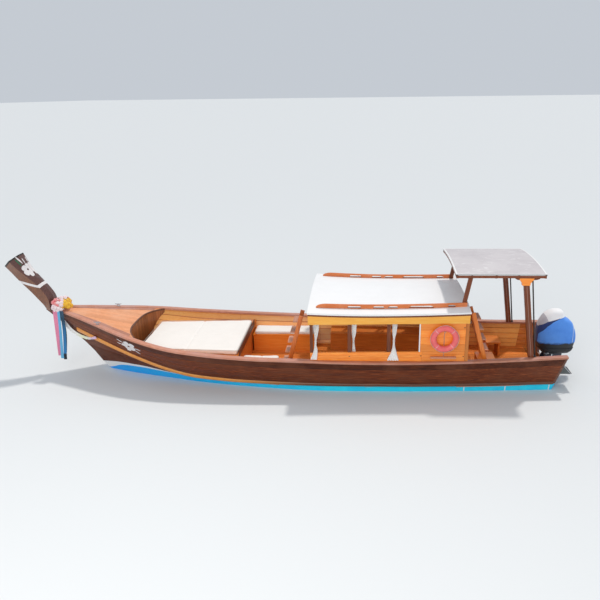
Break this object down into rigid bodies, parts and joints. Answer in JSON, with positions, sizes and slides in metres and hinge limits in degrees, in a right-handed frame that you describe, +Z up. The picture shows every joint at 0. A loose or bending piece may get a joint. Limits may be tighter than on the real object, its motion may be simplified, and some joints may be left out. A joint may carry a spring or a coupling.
{
  "type": "wooden longtail boat with cabin and outboard motor",
  "caption": "Long wooden boat with a tall leaning stem head, sun deck forward, open-sided cabin, cockpit canopy and a tilting, steering outboard motor.",
  "frame": {"origin": "on the centreline at the waterline, near the middle of the length", "axes": "+X towards the stern, +Y to starboard, +Z up"},
  "size_m": [13.5403, 2.9998, 3.745],
  "materials": {
    "varnish": "dark red-brown varnish",
    "cap_wood": "faded varnish",
    "deck_wood": "satin varnished planks",
    "orange_wood": "glossy orange varnish",
    "gold_wood": "golden varnish",
    "rail_paint": "orange gloss paint",
    "bottom_paint": "blue bottom paint",
    "roof_paint": "white paint on boards",
    "cushion_fabric": "cream outdoor fabric",
    "curtain_cloth": "thin white cloth",
    "ribbon_cloth": "bright silk ribbons",
    "garland": "bright blossoms",
    "ring_plastic": "faded pink-red",
    "steel": "polished stainless steel",
    "white_metal": "white paint",
    "black_plastic": "matte black",
    "motor_metal": "dark blue-grey paint",
    "motor_iron": "cast",
    "cowl_cover": "blue cover"
  },
  "bodies": {
    "hull": {"hull_side_starboard": "varnish", "hull_side_port": "varnish", "hull_bottom_starboard": "bottom_paint", "hull_bottom_port": "bottom_paint", "stem_and_keel": "varnish", "stem_head": "varnish", "transom": "varnish", "gunwale_cap_starboard": "cap_wood", "gunwale_cap_port": "cap_wood", "rub_rail_starboard": "rail_paint", "rub_rail_port": "rail_paint", "foredeck": "deck_wood", "well_bulkhead": "varnish", "sole": "orange_wood", "lounge_platform": "orange_wood", "sun_pad": "cushion_fabric", "bench_starboard": "orange_wood", "bench_port": "orange_wood", "bench_cushion_starboard": "cushion_fabric", "bench_cushion_port": "cushion_fabric", "cabin_roof": "roof_paint", "cabin_side_starboard": "orange_wood", "cabin_side_port": "orange_wood", "fascia_starboard": "gold_wood", "fascia_port": "gold_wood", "roof_rail_starboard": "orange_wood", "roof_rail_port": "orange_wood", "cabin_front_frame": "orange_wood", "cabin_aft_bulkhead": "orange_wood", "cabin_bench_starboard": "orange_wood", "cabin_bench_port": "orange_wood", "curtains_starboard": "curtain_cloth", "curtains_port": "curtain_cloth", "step_box": "orange_wood", "forward_ladder": "orange_wood", "aft_ladder": "orange_wood", "life_ring": "ring_plastic", "ring_bracket": "white_metal", "canopy_roof": "roof_paint", "canopy_post_starboard": "varnish", "canopy_post_port": "varnish", "canopy_struts": "varnish", "stern_pole_starboard": "steel", "stern_pole_port": "steel", "stern_step_starboard": "white_metal", "stern_step_port": "white_metal", "helm_console": "orange_wood", "helm_seat": "orange_wood", "bow_cleat_starboard": "steel", "bow_cleat_port": "steel", "bow_garland": "garland", "bow_ribbons": "ribbon_cloth", "motor_clamp": "motor_metal"},
    "tilt_bracket": {"motor_swivel": "motor_metal"},
    "motor": {"motor_leg": "motor_metal", "motor_pan": "black_plastic", "motor_cowl": "cowl_cover", "motor_block": "motor_iron"},
    "screw": {"propeller": "steel"},
    "wheel": {"helm_wheel": "black_plastic"}
  },
  "joints": [
    {"name": "engine_tilt", "type": "hinge", "parent": "hull", "child": "tilt_bracket", "pos_m": [6.08, 0, 0.395], "axis": [0, -1, 0], "range_deg": [0, 65]},
    {"name": "engine_steer", "type": "hinge", "parent": "tilt_bracket", "child": "motor", "pos_m": [6.19, 0, 0.25], "axis": [0, 0, 1], "range_deg": [-30, 30]},
    {"name": "propeller_spin", "type": "hinge", "parent": "motor", "child": "screw", "pos_m": [6.795, 0, -0.62], "axis": [1, 0, 0], "continuous": true},
    {"name": "helm_turn", "type": "hinge", "parent": "hull", "child": "wheel", "pos_m": [4.43, 0.7, 0.94], "axis": [0.9397, 0, 0.342], "range_deg": [-540, 540]}
  ],
  "couplings": [
    {"joint": "helm_turn", "follows": "engine_steer", "ratio": -18}
  ]
}
